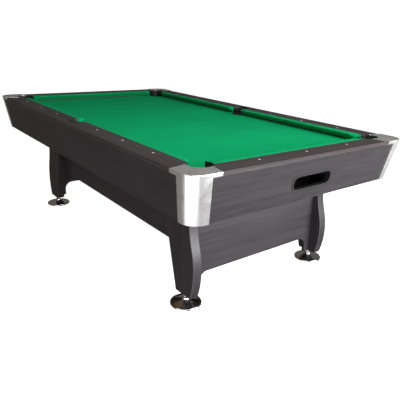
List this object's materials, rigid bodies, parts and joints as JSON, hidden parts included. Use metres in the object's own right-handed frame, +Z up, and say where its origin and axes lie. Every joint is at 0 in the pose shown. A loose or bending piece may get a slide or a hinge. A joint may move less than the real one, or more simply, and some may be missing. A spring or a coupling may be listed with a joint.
{
  "type": "pool table",
  "caption": "Pool table with green cloth bed and cushions, sloping laminated cabinet with ball return, metal corner caps, board legs and levelling feet.",
  "frame": {"origin": "on the floor under the middle of the table", "axes": "+X along the table to the foot end with the ball return, +Y across it, +Z up"},
  "size_m": [2.4452, 1.3854, 0.7775],
  "materials": {
    "cloth": "woven wool-blend billiard cloth, short nap",
    "cushion_cloth": "the same cloth pulled tight over rubber",
    "rail_laminate": "charcoal wood-grain laminate, satin",
    "cabinet_laminate": "charcoal laminate, fine vertical grain, satin",
    "leg_laminate": "charcoal laminate, satin",
    "chrome": "bright chrome plating",
    "steel": "zinc-plated steel",
    "black_plastic": "moulded black plastic, fine texture",
    "pearl": "mother-of-pearl look plastic",
    "mdf": "raw fibreboard",
    "pine": "planed softwood"
  },
  "bodies": {
    "table": {"bed": "mdf", "bed_cloth": "cloth", "bed_battens": "pine", "bed_beams": "mdf", "rail_sights": "pearl", "ball_return_bezel": "black_plastic", "ball_tray": "black_plastic", "corner_blocks": "pine", "foot_inserts": "steel", "hex_bolts": "steel", "rail_head": "rail_laminate", "cushion_head": "cushion_cloth", "apron_head": "cabinet_laminate", "skirt_head": "leg_laminate", "floor_head": "mdf", "rail_foot": "rail_laminate", "cushion_foot": "cushion_cloth", "apron_foot": "cabinet_laminate", "skirt_foot": "leg_laminate", "floor_foot": "mdf", "apron_left": "cabinet_laminate", "skirt_left": "leg_laminate", "floor_left": "mdf", "side_liner_left": "black_plastic", "gully_left": "black_plastic", "foot_chute_left": "black_plastic", "apron_right": "cabinet_laminate", "skirt_right": "leg_laminate", "floor_right": "mdf", "side_liner_right": "black_plastic", "gully_right": "black_plastic", "foot_chute_right": "black_plastic", "rail_head_left": "rail_laminate", "cushion_head_left": "cushion_cloth", "corner_cap_head_left": "chrome", "corner_liner_head_left": "black_plastic", "leg_head_left": "leg_laminate", "rail_head_right": "rail_laminate", "cushion_head_right": "cushion_cloth", "corner_cap_head_right": "chrome", "corner_liner_head_right": "black_plastic", "leg_head_right": "leg_laminate", "rail_foot_left": "rail_laminate", "cushion_foot_left": "cushion_cloth", "corner_cap_foot_left": "chrome", "corner_liner_foot_left": "black_plastic", "leg_foot_left": "leg_laminate", "rail_foot_right": "rail_laminate", "cushion_foot_right": "cushion_cloth", "corner_cap_foot_right": "chrome", "corner_liner_foot_right": "black_plastic", "leg_foot_right": "leg_laminate"},
    "pad_head_left": {"foot_pad_head_left": "chrome"},
    "stud_head_left": {"foot_stud_head_left": "steel"},
    "pad_head_right": {"foot_pad_head_right": "chrome"},
    "stud_head_right": {"foot_stud_head_right": "steel"},
    "pad_foot_left": {"foot_pad_foot_left": "chrome"},
    "stud_foot_left": {"foot_stud_foot_left": "steel"},
    "pad_foot_right": {"foot_pad_foot_right": "chrome"},
    "stud_foot_right": {"foot_stud_foot_right": "steel"}
  },
  "joints": [
    {"name": "foot_lift_head_left", "type": "slide", "parent": "table", "child": "pad_head_left", "axis": [0, 0, -1], "range_m": [0, 0.025]},
    {"name": "foot_turn_head_left", "type": "hinge", "parent": "pad_head_left", "child": "stud_head_left", "pos_m": [-0.851, -0.446, 0.06], "axis": [0, 0, -1], "range_deg": [0, 5143]},
    {"name": "foot_lift_head_right", "type": "slide", "parent": "table", "child": "pad_head_right", "axis": [0, 0, -1], "range_m": [0, 0.025]},
    {"name": "foot_turn_head_right", "type": "hinge", "parent": "pad_head_right", "child": "stud_head_right", "pos_m": [-0.851, 0.446, 0.06], "axis": [0, 0, -1], "range_deg": [0, 5143]},
    {"name": "foot_lift_foot_left", "type": "slide", "parent": "table", "child": "pad_foot_left", "axis": [0, 0, -1], "range_m": [0, 0.025]},
    {"name": "foot_turn_foot_left", "type": "hinge", "parent": "pad_foot_left", "child": "stud_foot_left", "pos_m": [0.851, -0.446, 0.06], "axis": [0, 0, -1], "range_deg": [0, 5143]},
    {"name": "foot_lift_foot_right", "type": "slide", "parent": "table", "child": "pad_foot_right", "axis": [0, 0, -1], "range_m": [0, 0.025]},
    {"name": "foot_turn_foot_right", "type": "hinge", "parent": "pad_foot_right", "child": "stud_foot_right", "pos_m": [0.851, 0.446, 0.06], "axis": [0, 0, -1], "range_deg": [0, 5143]}
  ],
  "couplings": [
    {"joint": "foot_turn_head_left", "follows": "foot_lift_head_left", "rad_per_m": 3590.4},
    {"joint": "foot_turn_head_right", "follows": "foot_lift_head_right", "rad_per_m": 3590.4},
    {"joint": "foot_turn_foot_left", "follows": "foot_lift_foot_left", "rad_per_m": 3590.4},
    {"joint": "foot_turn_foot_right", "follows": "foot_lift_foot_right", "rad_per_m": 3590.4}
  ]
}
